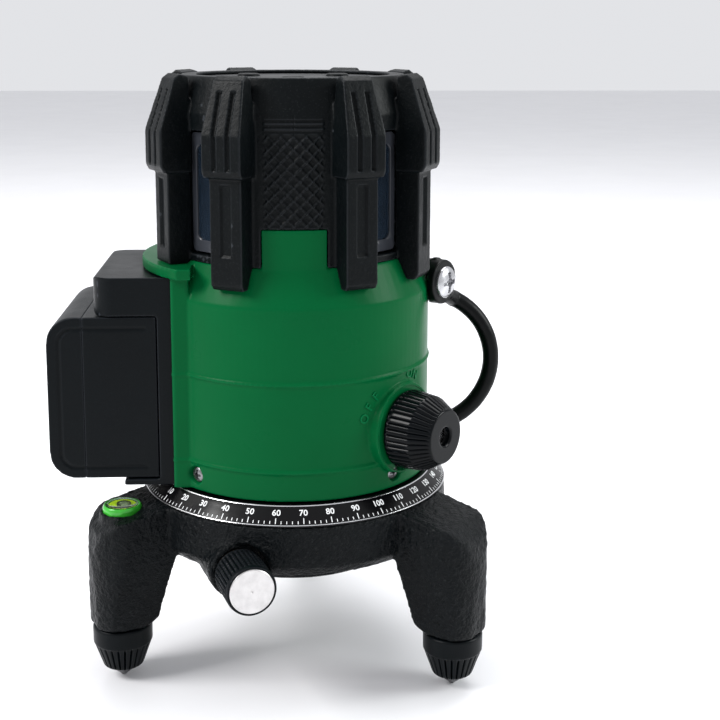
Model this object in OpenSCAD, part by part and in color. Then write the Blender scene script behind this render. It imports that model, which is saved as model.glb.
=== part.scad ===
// Self-levelling cross-line laser level on a rotating three-legged base.
// Millimetres. +Z is up along the spindle, -Y is the front, the battery is on -X.
// Heights in the modules are counted from the floor; from_floor() puts the origin
// at the mouth of the tripod thread under the base.
// An azimuth is counted from the front (-Y) towards +X.

/* [Stand] */
// Height of the tripod thread's mouth above the floor
stand_h = 37; // [36:0.5:38]
// Radius of the cast hub
hub_r = 54; // [53.5:0.5:56]
// Height of the hub's rim
rim_h = 63; // [63:0.5:63.5]
// Radius of the circle through the three feet
foot_circle_r = 66; // [65:0.5:67]
// Turn of the three legs against the head
base_turn = -6; // [-8:1:0]
// Azimuth of the fine adjustment shaft
worm_az = 17; // [14:1:20]

/* [Head] */
// Outer radius of the green housing
body_r = 47.5; // [47.5:0.5:48]
// Height of the housing's lower edge
body_bottom = 69.2; // [69.2:0.1:69.6]
// Height at which the housing's shoulder begins
shoulder_h = 133.8; // [133:0.2:134.5]
// Height of the shoulder's top
neck_h = 146; // [145.5:0.5:146.5]
// Height of the whole object
total_h = 208; // [208:0.5:209]
// Radius across the rubber bumpers
bumper_r = 52; // [51.5:0.5:53]
// Angle between a bumper and the window beside it
bumper_step = 18.5; // [18:0.5:19]
// Azimuth of the lock knob
lock_az = 49.5; // [48:0.5:51]

/* [Battery] */
// How far the pack reaches from the spindle
pack_reach = 83; // [82:0.5:84]
// Half of the pack's width
pack_half = 28; // [27:0.5:28]

/* [Fits] */
// Radial clearance of a shaft that turns in its bore
run_fit = 0.05; // [0.02:0.01:0.1]
// Radius of the 5/8 inch tripod thread
thread_r = 7.94; // [7.9:0.01:8]

/* [Hidden] */
$fn = 72;

LEG_AZ = [-60 + base_turn, 60 + base_turn, 180 + base_turn];
WINDOW_AZ = [45, 135, 225, 315];
SCREW_AZ = [45, 135, 225, 315];
wall = 2.5;
flat_x = 38;
lip_x = 33;
worm_h = 47;
teeth = 44;
pitch_r = 27.5;
worm_pitch_r = 5.5;
gear_gap = pitch_r + worm_pitch_r;
lead = 2 * PI * pitch_r / teeth;
worm_turns = 3;
worm_len = worm_turns * lead;
cavity_r = 48;
cavity_h = 51;
chamber_r = 31;
chamber_h = 41.5;
leg_bottom = 20;
leg_round_r = 63.1;
journal_r = 11;
core_r = 35.5;
sleeve_r = 42;
tab_w = 21;
tab_h = 158.6;
lock_h = 89.3;
cam_r = 5;
cam_throw = 2.2;
pivot_h = 140;
pin_r = 1.5;
pillar_r = 31;
carrier_h = pivot_h - 12;
block_h = 141;
pack_bottom = 71.8;
pack_top = 127.6;
plate_x = 46;
pack_back = plate_x + 0.3;
split_x = 71;
panel_h = 203;
key_r = 18;
jack_az = 96;
jack_h = 80;
tether_az = 52;
tether_face = [52.6, -8, 134.9];
ring_depth = 6.8;
ring_r = 7.85;
strap_r = 2.9;

// ---------- helpers ----------
module from_floor() {
    translate([0, 0, -stand_h]) children();
}

// Draws its children, made at the front, at azimuth az
module turned(az) {
    rotate([0, 0, az]) children();
}

// Cylinder pointing outwards, from distance a to distance b, at height h
module out_rod(r, a, b, h) {
    translate([0, -a, h]) rotate([90, 0, 0]) cylinder(r = r, h = b - a);
}

// Box standing across the front direction, from distance a to b and height h1 to h2
module out_box(w, a, b, h1, h2) {
    translate([-w / 2, -b, h1]) cube([w, b - a, h2 - h1]);
}

module tube(r_in, r_out, h1, h2) {
    translate([0, 0, h1]) difference() {
        cylinder(r = r_out, h = h2 - h1);
        translate([0, 0, -1]) cylinder(r = r_in, h = h2 - h1 + 2);
    }
}

module disc(r, h1, h2) {
    translate([0, 0, h1]) cylinder(r = r, h = h2 - h1);
}

// Frame of the fine adjustment shaft: Z along the shaft, X towards the spindle
module worm_line() {
    turned(worm_az) translate([-gear_gap, 0, worm_h]) rotate([90, 0, 0]) children();
}

// Frame of the tether's eyelet: Z along its screw, 0 at the eyelet's face
module tether_line() {
    translate(tether_face) rotate([0, 0, tether_az]) rotate([90, 0, 0]) children();
}

// Extrudes an outline drawn in (distance from the spindle, height) across width w
module radial_slab(w) {
    rotate([90, 0, -90]) translate([0, 0, -w / 2]) linear_extrude(w) children();
}

// Extrudes an outline drawn in (sideways, height) between distances a and b
module facing_slab(a, b) {
    translate([0, -a, 0]) rotate([90, 0, 0]) linear_extrude(b - a) children();
}

// ---------- base ----------
module leg_solid() {
    intersection() {
        radial_slab(40) polygon([
            [30, rim_h - 0.6], [hub_r, rim_h - 0.6], [60, rim_h - 2], [70, rim_h - 4], [75, rim_h - 9],
            [76.9, rim_h - 17], [76, leg_bottom], [57, leg_bottom], [49.6, 46.5], [30, 46.5]
        ]);
        facing_slab(20, 90) polygon([
            [-13.5, rim_h + 1], [13.5, rim_h + 1], [12.5, 45], [10, leg_bottom],
            [-10, leg_bottom], [-12.5, 45]
        ]);
        translate([0, 0, 10]) linear_extrude(60) union() {
            translate([-13.8, -leg_round_r]) square([27.6, leg_round_r - 15]);
            translate([0, -leg_round_r]) circle(r = 13.8);
        }
        translate([0, -foot_circle_r, leg_bottom - 1]) cylinder(r1 = 9.5, r2 = 9.5 + 1.1 * 46, h = 46);
    }
}

// Three screws hold the spindle and the thread insert to the casting
module at_insert_screws() {
    for (a = [0:120:240]) rotate([0, 0, a]) translate([14, 0, 0]) children();
}

module vial_place() {
    turned(LEG_AZ[0]) translate([0, -65, 0]) children();
}

module tripod_base() color("dimgray") from_floor() difference() {
    union() {
        difference() {
            union() {
                rotate_extrude() polygon([
                    [0, stand_h], [34, stand_h], [35, stand_h + 1], [35, 45], [50.5, 45],
                    [hub_r, 49], [hub_r, rim_h], [0, rim_h]
                ]);
                for (az = LEG_AZ) turned(az) leg_solid();
            }
            disc(cavity_r, cavity_h, rim_h + 1);
        }
        worm_line() translate([0, 0, -18]) cylinder(r = 9.4, h = 60.4);
        vial_place() disc(7.8, 52, 60);
    }
    disc(chamber_r, chamber_h, rim_h);
    disc(journal_r, stand_h - 1, chamber_h + 1);
    worm_line() translate([0, 0, -15.5]) cylinder(r = 7.2, h = 60);
    worm_line() translate([0, 0, 42.4]) cylinder(r = 9.8, h = 30);
    for (az = LEG_AZ) turned(az) translate([0, -foot_circle_r, leg_bottom - 1])
        cylinder(r = 4.3, h = 29);
    vial_place() disc(6.7, 54, 66);
    at_insert_screws() disc(1.5, 38.5, 42.5);
}

module thread_insert() color("goldenrod") from_floor() difference() {
    union() {
        disc(journal_r, stand_h, chamber_h + 1);
        disc(17, chamber_h, 44.5);
    }
    disc(thread_r, stand_h - 1, 46);
    at_insert_screws() disc(1.5, 40, 46);
}

module spindle() color("silver") from_floor() difference() {
    union() {
        disc(17, 44.5, 47.5);
        disc(journal_r, 46, 68);
        disc(9, 67, 75);
    }
    disc(thread_r + 0.3, 44, 52);
    disc(4, 51, 76);
    at_insert_screws() {
        disc(1.5, 44, 46);
        disc(2.6, 45.9, 48);
    }
}

module spindle_screws() color("gray") from_floor() at_insert_screws() {
    disc(1.5, 38.5, 46);
    disc(2.6, 45.9, 47.4);
}

module wave_washer() color("silver") from_floor() tube(9.2, 14.5, 68, 69.5);

module spindle_nut() color("silver") from_floor() difference() {
    translate([0, 0, 69.5]) linear_extrude(4.5) circle(r = 13.5, $fn = 6);
    disc(9, 69, 75);
}

module dial_ring() color("black") from_floor() rotate_extrude() polygon([
    [44, rim_h - 3], [cavity_r, rim_h - 3], [cavity_r, rim_h], [hub_r, rim_h], [hub_r, rim_h + 0.5],
    [48.7, 68.7], [44, 68.7]
]);

module worm_bushes() color("peru") from_floor() worm_line() {
    tube(3 + run_fit, 7.2, -15.5, -12.4);
    tube(3 + run_fit, 7.2, 34, 42.2);
}

module vial_cup() color("green") from_floor() vial_place() difference() {
    disc(6.7, 54, 62.2);
    disc(5.4, 55.5, 63);
}

module vial_liquid() color("yellowgreen") from_floor() vial_place() disc(5.4, 55.5, 61.2);

module vial_lens() color("lightyellow") from_floor() vial_place() disc(5.4, 61.2, 62.9);

// ---------- fine adjustment ----------
// Outline of the single thread, seen along the shaft
function thread_reach(a) = a < 36 ? 6.4 : a < 62 ? 6.4 - (a - 36) / 26 * 0.9
    : a < 96 ? 5.5 - (a - 62) / 34 * 1.1 : 4.4;

module worm_shaft() color("silver") from_floor() worm_line() {
    translate([0, 0, -worm_len / 2])
        linear_extrude(worm_len, twist = -360 * worm_turns, slices = 18 * worm_turns, segments = 20)
            polygon([for (a = [-180:18:162]) thread_reach(abs(a)) * [cos(a), sin(a)]]);
    translate([0, 0, -14.8]) cylinder(r = 3, h = 14.8 - worm_len / 2);
    translate([0, 0, worm_len / 2]) cylinder(r = 3, h = 58.5 - worm_len / 2);
    tube(3, 5.5, 30, 33.9);
}

module fine_knob() color("black") from_floor() worm_line() difference() {
    union() {
        translate([0, 0, 43]) cylinder(r1 = 7.6, r2 = 8.4, h = 1);
        translate([0, 0, 44]) cylinder(r = 8.4, h = 15);
        translate([0, 0, 59]) cylinder(r1 = 8.4, r2 = 7.9, h = 0.7);
    }
    translate([0, 0, 42]) cylinder(r = 3, h = 20);
    translate([0, 0, 58.5]) cylinder(r = 7.3, h = 2);
}

module fine_knob_cap() color("silver") from_floor() worm_line() translate([0, 0, 58.5])
    cylinder(r = 7.3, h = 1.5);

module worm_wheel() color("goldenrod") from_floor() turned(worm_az) difference() {
    union() {
        translate([0, 0, 43.5]) linear_extrude(7) union() {
            circle(r = 25.8);
            for (i = [0:teeth - 1]) rotate(i * 360 / teeth)
                polygon([[25, -1.1], [25.8, -1], [28.4, -0.45], [28.4, 0.45], [25.8, 1], [25, 1.1]]);
        }
        disc(20, 50, 59);
    }
    disc(journal_r + run_fit, 42, 60);
    disc(21, 43, 47.5);
}

module friction_washer() color("saddlebrown") from_floor() tube(journal_r + 0.3, 20, 59, 60);

// ---------- feet ----------
module at_foot(i) {
    turned(LEG_AZ[i]) translate([0, -foot_circle_r, 0]) children();
}

module foot_pin(i) color("silver") from_floor() at_foot(i) union() {
    cylinder(r1 = 0.6, r2 = 4.2, h = 3.2);
    disc(4.2, 3.2, 4.1);
    disc(2.5, 4, 34);
}

module foot_knob(i) color("black") from_floor() at_foot(i) difference() {
    union() {
        translate([0, 0, 4.2]) cylinder(r1 = 6.8, r2 = 9.8, h = 8.8);
        disc(10.2, 13, 19.6);
        disc(4, 19, 44);
    }
    disc(2.5 + run_fit, 3, 45);
}

module foot_pin_left() foot_pin(0);
module foot_pin_right() foot_pin(1);
module foot_pin_rear() foot_pin(2);
module foot_knob_left() foot_knob(0);
module foot_knob_right() foot_knob(1);
module foot_knob_rear() foot_knob(2);

// ---------- head: green housing ----------
module tab_ring(gap) {
    for (az = [0:90:270]) turned(az) intersection() {
        tube(38.8 - gap, sleeve_r + 0.4, neck_h - 1, tab_h + gap);
        out_box(tab_w + 2 * gap, 30, 50, neck_h - 2, tab_h + 5);
    }
}

module main_housing() color("forestgreen") from_floor() difference() {
    union() {
        difference() {
            rotate_extrude() polygon([
                [0, body_bottom], [body_r, body_bottom], [body_r, 78.6], [body_r + 0.4, 78.8],
                [body_r + 0.4, 79.4], [body_r, 79.6], [body_r, 108.2], [body_r + 0.4, 108.4],
                [body_r + 0.4, 109], [body_r, 109.2], [body_r, shoulder_h], [sleeve_r, neck_h], [0, neck_h]
            ]);
            translate([-flat_x - 30, -50, 60]) cube([30, 100, 90]);
        }
        intersection() {
            tube(39, 53, block_h + 0.5, neck_h - 1);
            translate([-60, -36, 130]) cube([26, 72, 30]);
        }
        for (s = [-1, 1]) translate([-41, s * 30.3 - 1.6, body_bottom])
            cube([6, 3.2, block_h + 2 - body_bottom]);
        turned(lock_az) out_rod(15.6, 40, 48.9, lock_h);
        tether_line() translate([0, 0, -17]) cylinder(r = 7.5, h = 17 - ring_depth);
        tab_ring(0);
    }
    intersection() {
        rotate_extrude() polygon([
            [0, body_bottom - 1], [body_r - wall, body_bottom - 1], [body_r - wall, 131],
            [41.5, 140], [0, 140]
        ]);
        translate([-flat_x + wall, -60, 60]) cube([110, 120, 90]);
    }
    disc(core_r + 0.2, 139, neck_h + 20);
    turned(lock_az) out_rod(4 + run_fit, 30, 60, lock_h);
    turned(jack_az) out_rod(5, 30, 60, jack_h);
    tether_line() translate([0, 0, -20]) cylinder(r = 2, h = 30);
    for (az = SCREW_AZ) turned(az) {
        out_rod(1.5, 40, 60, 74.3);
        out_rod(3, 45.6, 60, 74.3);
    }
    for (y = [-20, 20], h = [80, 118]) translate([-flat_x - 1, y, h]) rotate([0, 90, 0])
        cylinder(r = 1.5, h = 5);
}

module housing_floor() color("dimgray") from_floor() difference() {
    union() {
        disc(body_r - wall - 0.1, body_bottom, 72);
        for (az = SCREW_AZ) turned(az) intersection() {
            out_box(9, 37, 46, 71, 79);
            disc(body_r - wall - 0.1, 70, 80);
        }
    }
    disc(16, 69, 73);
    translate([-60, -60, 60]) cube([60 - flat_x + wall + 0.1, 120, 30]);
    for (az = SCREW_AZ) turned(az) out_rod(1.5, 38, 50, 74.3);
    for (az = SCREW_AZ) turned(az) translate([0, -26, 60]) cylinder(r = 1.5, h = 20);
}

module swivel_hub() color("silver") from_floor() difference() {
    union() {
        disc(17, 60, 68);
        disc(32, 65.8, body_bottom);
    }
    disc(journal_r + run_fit, 59, 70);
    disc(15, 68, 70);
    for (az = SCREW_AZ) turned(az) translate([0, -26, 66.5]) cylinder(r = 1.5, h = 20);
}

// Pan-head M3 screw standing on the plane z = 0, with its shank below
module screw_m3(shank) {
    translate([0, 0, -shank]) cylinder(r = 1.5, h = shank + 0.5);
    cylinder(r = 2.8, h = 1.5);
}

module head_screws() color("gray") from_floor() {
    for (az = SCREW_AZ) turned(az) {
        translate([0, -26, 72]) screw_m3(5.5);
        translate([0, -45.6, 74.3]) rotate([90, 0, 0]) screw_m3(7.6);
    }
    for (y = [-20, 20], h = [80, 118]) translate([wall - flat_x, y, h]) rotate([0, 90, 0]) screw_m3(7.6);
}

// ---------- head: crown ----------
module crown_core() color("black") from_floor() difference() {
    union() {
        tube(33, core_r, 137, panel_h);
        intersection() {
            tube(34, 41, 137.1, 139.9);
            translate([-35.2, -50, 130]) cube([90, 100, 20]);
        }
    }
    for (az = WINDOW_AZ) turned(az) out_box(13, 20, 50, 153, 187);
}

module bumper() {
    intersection() {
        union() {
            radial_slab(20) polygon([
                [41, 207.2], [44, total_h], [46.2, 206.4], [bumper_r, 189.2], [bumper_r, 178],
                [50.8, 175.8], [41, 175.8]
            ]);
            radial_slab(11.4) polygon([[41, 176], [49.2, 176], [49.2, 141], [47.8, 139.2], [41, 139.2]]);
        }
        facing_slab(30, 60) polygon([
            [-5.2, total_h + 1], [5.2, total_h + 1], [7, 189.2], [7, 139], [-7, 139], [-7, 189.2]
        ]);
    }
}

module crown_cover() color([0.12, 0.12, 0.13]) from_floor() difference() {
    union() {
        difference() {
            rotate_extrude() polygon([
                [core_r + 0.1, neck_h + 0.1], [sleeve_r, neck_h + 0.1], [sleeve_r, 195], [38.4, 207.2],
                [33.5, 207.2], [33.5, 206.2], [core_r + 0.1, 206.2]
            ]);
            for (az = WINDOW_AZ) turned(az) out_box(17, 20, 60, 148.5, 189.5);
        }
        for (az = WINDOW_AZ, s = [-1, 1]) turned(az + s * bumper_step) bumper();
    }
    translate([0, 0, shoulder_h])
        cylinder(r1 = body_r + 0.15, r2 = sleeve_r + 0.15, h = neck_h - shoulder_h);
    tab_ring(0.2);
    translate([-lip_x - 40.4, -60, 130]) cube([40, 120, neck_h - 130.8]);
}

module window_frames() color("gray") from_floor() for (az = WINDOW_AZ) turned(az) difference() {
    out_box(16.8, 36.3, 39.4, 149, 189);
    out_box(12.4, 30, 50, 153, 185);
}

module window_glass() color("lightblue") from_floor() for (az = WINDOW_AZ) turned(az)
    out_box(12.4, 36.8, 38.6, 153, 185);

module at_keys() {
    for (a = [0:2]) turned(a * 120) translate([0, -key_r, 0]) children();
}

module top_panel() color([0.15, 0.15, 0.16]) from_floor() difference() {
    union() {
        disc(core_r, panel_h, 206);
        tube(30, 32.9, 198, panel_h + 1);
    }
    at_keys() disc(4.3, 195, 210);
    turned(60) for (x = [-6, 0, 6]) translate([x, -18, 200]) cylinder(r = 1.4, h = 10);
}

module status_lamps() color("red") from_floor() turned(60) for (x = [-6, 0, 6])
    translate([x, -18, panel_h]) cylinder(r = 1.4, h = 3.2);

module key(i) color("dimgray") from_floor() turned(i * 120) translate([0, -key_r, 0]) union() {
    disc(4, 202, 207);
    disc(5, 200.6, panel_h - 0.2);
    disc(1.5, 198.4, 201);
}

module key_horizontal() key(0);
module key_vertical() key(1);
module key_receiver() key(2);

module circuit_board() color("darkgreen") from_floor() union() {
    disc(32.8, 194, 195.6);
    at_keys() disc(3, 195, 197.6);
}

// ---------- pendulum lock ----------
module lock_knob() color([0.07, 0.07, 0.08]) from_floor() turned(lock_az) translate([0, 0, lock_h])
    rotate([90, 0, 0]) difference() {
        rotate_extrude() polygon([
            [4, 49.3], [13.4, 49.3], [13.4, 51.5], [12.7, 58.8], [9, 65.4], [3, 65.4], [3, 62.5], [4, 62.5]
        ]);
    }

module lock_shaft() color("silver") from_floor() turned(lock_az) union() {
    out_rod(4, 32.9, 62.5, lock_h);
    out_rod(cam_r, 29, 33, lock_h + cam_throw);
    out_rod(5.5, 41.5, 44.4, lock_h);
}

module lock_ring() color("orange") from_floor() union() {
    tube(12.5, 27, 97, 99);
    turned(lock_az) out_box(8, 25, 33.5, 97, 99);
}

module lock_springs() color("silver") from_floor() for (a = [138, -42]) turned(a)
    translate([0, -23.5, 0]) tube(2, 3, 99, carrier_h);

// ---------- chassis and pendulum ----------
module chassis_pillars() color("silver") from_floor() for (az = [0:90:270]) turned(az)
    translate([0, -pillar_r, 0]) disc(2.8, 72, carrier_h);

module gimbal_carrier() color("gainsboro") from_floor() difference() {
    union() {
        tube(20, 34.3, carrier_h, carrier_h + 4);
        for (az = [90, 270]) turned(az) out_box(9, 25, 30, carrier_h + 2, pivot_h + 5);
    }
    for (az = [90, 270]) turned(az) out_rod(pin_r + run_fit, 20, 40, pivot_h);
}

module damper_plate() color("chocolate") from_floor() difference() {
    disc(34.3, 76, 77.5);
    disc(15, 75, 78);
    for (az = [0:90:270]) turned(az) translate([0, -pillar_r, 0]) disc(2.8, 75, 78);
}

module gimbal_ring() color("silver") from_floor() difference() {
    tube(17.5, 22.5, pivot_h - 3, pivot_h + 3);
    for (az = [90, 270]) turned(az) out_rod(pin_r, 15, 25, pivot_h);
    for (az = [0, 180]) turned(az) out_rod(pin_r + run_fit, 15, 25, pivot_h);
}

module gimbal_outer_pins() color("gray") from_floor() for (az = [90, 270]) turned(az)
    out_rod(pin_r, 18, 29.5, pivot_h);

module gimbal_inner_pins() color("gray") from_floor() for (az = [0, 180]) turned(az)
    out_rod(pin_r, 11, 21.5, pivot_h);

module pendulum_frame() color("gainsboro") from_floor() difference() {
    union() {
        disc(8, 92.5, pivot_h - 6);
        disc(14, pivot_h - 8, pivot_h + 8);
        disc(8, pivot_h + 7, 156);
        disc(16, 155, 184);
    }
    for (az = [0, 180]) turned(az) out_rod(pin_r, 10, 20, pivot_h);
    for (az = WINDOW_AZ) turned(az) out_rod(5.5, 9, 20, 177);
    turned(45) out_rod(5.5, 9, 20, 162);
    disc(5.5, 91, 98);
    disc(4, 97, 106);
}

module pendulum_weight() color("goldenrod") from_floor() tube(5.5, 23, 84, 92.5);

module laser_modules() color("darkgoldenrod") from_floor() {
    for (az = WINDOW_AZ) turned(az) out_rod(5.5, 9, 25, 177);
    turned(45) out_rod(5.5, 9, 25, 162);
    disc(5.5, 82, 98);
}

module damper_magnets() color("silver") from_floor() for (az = [45:90:315]) turned(az)
    translate([0, -17, 0]) disc(4, 81.5, 84);

// ---------- tether and charging port ----------
module tether_screw() color("silver") from_floor() tether_line() union() {
    translate([0, 0, -16]) cylinder(r = 2, h = 17);
    intersection() {
        cylinder(r = 5.7, h = 3);
        translate([0, 0, -5.3]) sphere(r = 7.8);
    }
}

// Straight piece of strap between two points, with round ends
module strap_link(a, b) {
    d = b - a;
    translate(a) rotate([0, acos(d[2] / norm(d)), atan2(d[1], d[0])]) cylinder(r = strap_r, h = norm(d));
    translate(b) sphere(r = strap_r + 0.15);
}

strap_y = 3;
strap_bend_r = 24.7;
strap_centre = [46.4, strap_y, 104.5];
strap_half = 64;
strap_top = strap_centre + strap_bend_r * [cos(strap_half), 0, sin(strap_half)];
strap_end = strap_centre + strap_bend_r * [cos(strap_half), 0, -sin(strap_half)];

module tether_strap() color([0.1, 0.1, 0.1]) from_floor() difference() {
    union() {
        tether_line() translate([0, 0, -ring_depth]) cylinder(r = ring_r, h = ring_depth);
        tether_line() translate([0, ring_r + 0.5, -3.4]) rotate([90, 0, 0]) cylinder(r = 1.3, h = 3);
        strap_link([51.5, -4.5, 131], strap_top);
        translate(strap_centre) rotate([90, 0, 0]) rotate([0, 0, -strap_half])
            rotate_extrude(angle = 2 * strap_half) translate([strap_bend_r, 0]) circle(r = strap_r);
        translate(strap_end) sphere(r = strap_r + 0.15);
    }
    tether_line() translate([0, 0, -10]) cylinder(r = 2, h = 12);
    tether_line() cylinder(r = 12, h = 9);
    translate([0, 0, 120]) cylinder(r = body_r + 0.3, h = 30);
    turned(jack_az) out_rod(6.3, 40, 54, jack_h);
}

module port_plug() color([0.1, 0.1, 0.1]) from_floor() turned(jack_az) union() {
    out_rod(2.7, 37, 49, jack_h);
    out_rod(6, 48, 53.7, jack_h);
}

module charging_jack() color("gray") from_floor() turned(jack_az) difference() {
    out_rod(5, 35.5, 47.4, jack_h);
    out_rod(2.8, 36.5, 50, jack_h);
}

// ---------- battery ----------
// Side view of the pack, with large outer corners; x is the distance from the spindle
module pack_outline(r, inset) {
    x1 = pack_back + inset;
    x2 = pack_reach - inset;
    z1 = pack_bottom + inset;
    z2 = pack_top - inset;
    translate([x1, z1]) square([x2 - r - x1, z2 - z1]);
    translate([x1, z1 + r]) square([x2 - x1, z2 - z1 - 2 * r]);
    for (z = [z1 + r, z2 - r]) translate([x2 - r, z]) circle(r = r);
}

// Draws an outline of (distance, height) on the battery side, across width w
module side_slab(w) {
    rotate([90, 0, 0]) mirror([1, 0, 0]) translate([0, 0, -w / 2]) linear_extrude(w) children();
}

module pack_shell() {
    difference() {
        side_slab(2 * pack_half) pack_outline(9, 0);
        side_slab(2 * pack_half - 4) pack_outline(7, 2);
    }
}

module battery_case() color([0.14, 0.14, 0.15]) from_floor() difference() {
    intersection() {
        pack_shell();
        translate([-split_x, -60, 60]) cube([60, 120, 90]);
    }
    translate([-68.2, -8.2, 70]) cube([8.4, 16.4, 6]);
    for (y = [-14, -5, 5, 14]) translate([-pack_back - 1, y - 2, 84]) cube([3, 4, 14]);
}

module battery_cover() color([0.16, 0.16, 0.17]) from_floor() intersection() {
    pack_shell();
    translate([-split_x - 40, -60, 60]) cube([40, 120, 90]);
}

module battery_cells() color("royalblue") from_floor() for (x = [-79, -65])
    translate([x, -22, 79]) cube([12, 44, 43]);

module battery_release() color("dimgray") from_floor() union() {
    translate([-67.9, -7.9, 71.2]) cube([7.8, 15.8, 4]);
    translate([-69, -9.5, 73.8]) cube([10, 19, 1.4]);
}

module battery_mount() color([0.13, 0.13, 0.14]) from_floor() difference() {
    union() {
        side_slab(57) polygon([
            [flat_x, body_bottom], [58, body_bottom], [58, 71.4], [plate_x, 71.4], [plate_x, 128],
            [66.5, 128], [67.5, 129], [67.5, block_h - 1], [66.5, block_h], [flat_x, block_h]
        ]);
    }
    for (y = [-14, -5, 5, 14]) translate([-plate_x - 1, y - 1.5, 85]) cube([7, 3, 12]);
    for (y = [-20, 20], h = [80, 118]) translate([-44, y, h]) rotate([0, 90, 0]) cylinder(r = 1.5, h = 8);
    for (s = [-1, 1]) translate([-41.1, s * 30.3 - 1.7, 60]) cube([6, 3.4, 90]);
}

module mount_contacts() color("gold") from_floor() for (y = [-14, -5, 5, 14])
    translate([-pack_back, y - 1.5, 85]) cube([6, 3, 12]);

tripod_base();
thread_insert();
spindle();
spindle_screws();
spindle_nut();
wave_washer();
dial_ring();
worm_bushes();
vial_cup();
vial_liquid();
vial_lens();
worm_shaft();
fine_knob();
fine_knob_cap();
worm_wheel();
friction_washer();
foot_pin_left();
foot_pin_right();
foot_pin_rear();
foot_knob_left();
foot_knob_right();
foot_knob_rear();
main_housing();
housing_floor();
swivel_hub();
head_screws();
crown_core();
crown_cover();
window_frames();
window_glass();
top_panel();
status_lamps();
key_horizontal();
key_vertical();
key_receiver();
circuit_board();
lock_knob();
lock_shaft();
lock_ring();
lock_springs();
chassis_pillars();
gimbal_carrier();
damper_plate();
gimbal_ring();
gimbal_outer_pins();
pendulum_frame();
pendulum_weight();
gimbal_inner_pins();
laser_modules();
damper_magnets();
tether_screw();
tether_strap();
port_plug();
charging_jack();
battery_mount();
mount_contacts();
battery_case();
battery_cover();
battery_cells();
battery_release();
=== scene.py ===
"""Laser level on a rotating three-legged base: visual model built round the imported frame.

While a piece is made, lengths are in millimetres and heights are counted from the floor.
metres() turns them into the frame of the part, whose origin is the mouth of the tripod thread.
Azimuths are in degrees from the front (-Y) towards +X.
"""
import math

import bmesh
import bpy
import numpy as np
from mathutils import Matrix, Vector


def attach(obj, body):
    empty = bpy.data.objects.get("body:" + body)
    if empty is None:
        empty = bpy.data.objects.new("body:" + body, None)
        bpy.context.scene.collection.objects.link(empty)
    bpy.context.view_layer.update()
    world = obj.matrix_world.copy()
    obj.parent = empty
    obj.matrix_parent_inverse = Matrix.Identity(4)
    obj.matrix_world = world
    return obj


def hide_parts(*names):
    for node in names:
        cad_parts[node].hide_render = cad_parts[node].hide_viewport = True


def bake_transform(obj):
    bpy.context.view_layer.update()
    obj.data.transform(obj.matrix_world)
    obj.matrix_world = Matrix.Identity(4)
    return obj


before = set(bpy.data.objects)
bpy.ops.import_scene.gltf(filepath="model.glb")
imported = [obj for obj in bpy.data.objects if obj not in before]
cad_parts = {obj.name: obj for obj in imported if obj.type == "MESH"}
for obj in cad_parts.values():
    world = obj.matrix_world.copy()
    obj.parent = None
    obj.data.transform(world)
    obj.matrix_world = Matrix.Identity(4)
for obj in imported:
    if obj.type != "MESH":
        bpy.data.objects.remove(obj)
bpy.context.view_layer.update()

STAND = 37.0                                        # thread mouth above the floor
LEG_AZ = {"left": -66.0, "right": 54.0, "rear": 174.0}
FOOT_R = 66.0
WINDOW_AZ = (45.0, 135.0, 225.0, 315.0)
BUMPER_STEP = 18.5                                  # degrees from a window to its bumpers
BODY_R = 47.5                                       # round wall of the housing
LOCK_AZ, LOCK_H = 49.5, 89.3
WORM_AZ, WORM_H, WORM_GAP = 17.0, 47.0, 33.0
TETHER_AZ, TETHER_FACE = 52.0, (52.6, -8.0, 134.9)
JACK_AZ, JACK_H = 96.0, 80.0
VIAL_AZ, VIAL_R = -66.0, 65.0
DIAL_LOW, DIAL_HIGH = (54.0, 63.5), (48.7, 68.7)    # radius and height of the dial's edges
DIAL_ZERO = -67.3                                   # azimuth of the dial's 0
KEY_R, KEY_NAMES = 18, ("horizontal", "vertical", "receiver")
LAMP_AZ, LAMP_GAP = 60, 6
FRAME_PX = 720.0
UP, RIGHT = (0, 0, 1), (1, 0, 0)


# ---------- placing ----------
def out(az):
    """Unit vector away from the spindle."""
    a = math.radians(az)
    return Vector((math.sin(a), -math.cos(a), 0.0))


def across(az):
    """Unit vector square to out(az), towards larger azimuths."""
    a = math.radians(az)
    return Vector((math.cos(a), math.sin(a), 0.0))


def at(point, z_dir, x_dir):
    """Millimetre frame with its Z along z_dir; x_dir is made square to it."""
    z, x = Vector(z_dir).normalized(), Vector(x_dir)
    x = (x - z * x.dot(z)).normalized()
    m = Matrix((x, z.cross(x), z)).transposed().to_4x4()
    m.translation = Vector(point)
    return m


def radial(az, h, x_dir=None):
    """Frame whose Z is the distance from the spindle, at azimuth az and height h."""
    return at((0, 0, h), out(az), x_dir or across(az))


def metres(co):
    """Rows of metres in the frame of the part, from millimetres above the floor."""
    co = np.array(co, float).reshape(-1, 3)
    co[:, 2] -= STAND
    return co / 1000.0


# ---------- noise ----------
def lattice(ix, iy, iz, seed):
    """Fixed pseudo-random value from -1 to 1 for each whole-numbered point."""
    n = ix * 374761393 + iy * 668265263 + iz * 2147483647 + seed * 1274126177
    n = (n ^ (n >> 13)) * 1274126177
    n = n ^ (n >> 16)
    return (n & 0xFFFF) / 32767.5 - 1.0


def grain(co, size, seed=0):
    """Smooth noise from -1 to 1 with cells of the given size."""
    p = np.asarray(co, float) / size + 1000.0
    i = np.floor(p).astype(np.int64)
    f = p - i
    f = f * f * (3 - 2 * f)
    total = np.zeros(len(p))
    for dx in (0, 1):
        for dy in (0, 1):
            for dz in (0, 1):
                w = (f[:, 0] if dx else 1 - f[:, 0]) * (f[:, 1] if dy else 1 - f[:, 1])
                w = w * (f[:, 2] if dz else 1 - f[:, 2])
                total += w * lattice(i[:, 0] + dx, i[:, 1] + dy, i[:, 2] + dz, seed)
    return total


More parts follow.
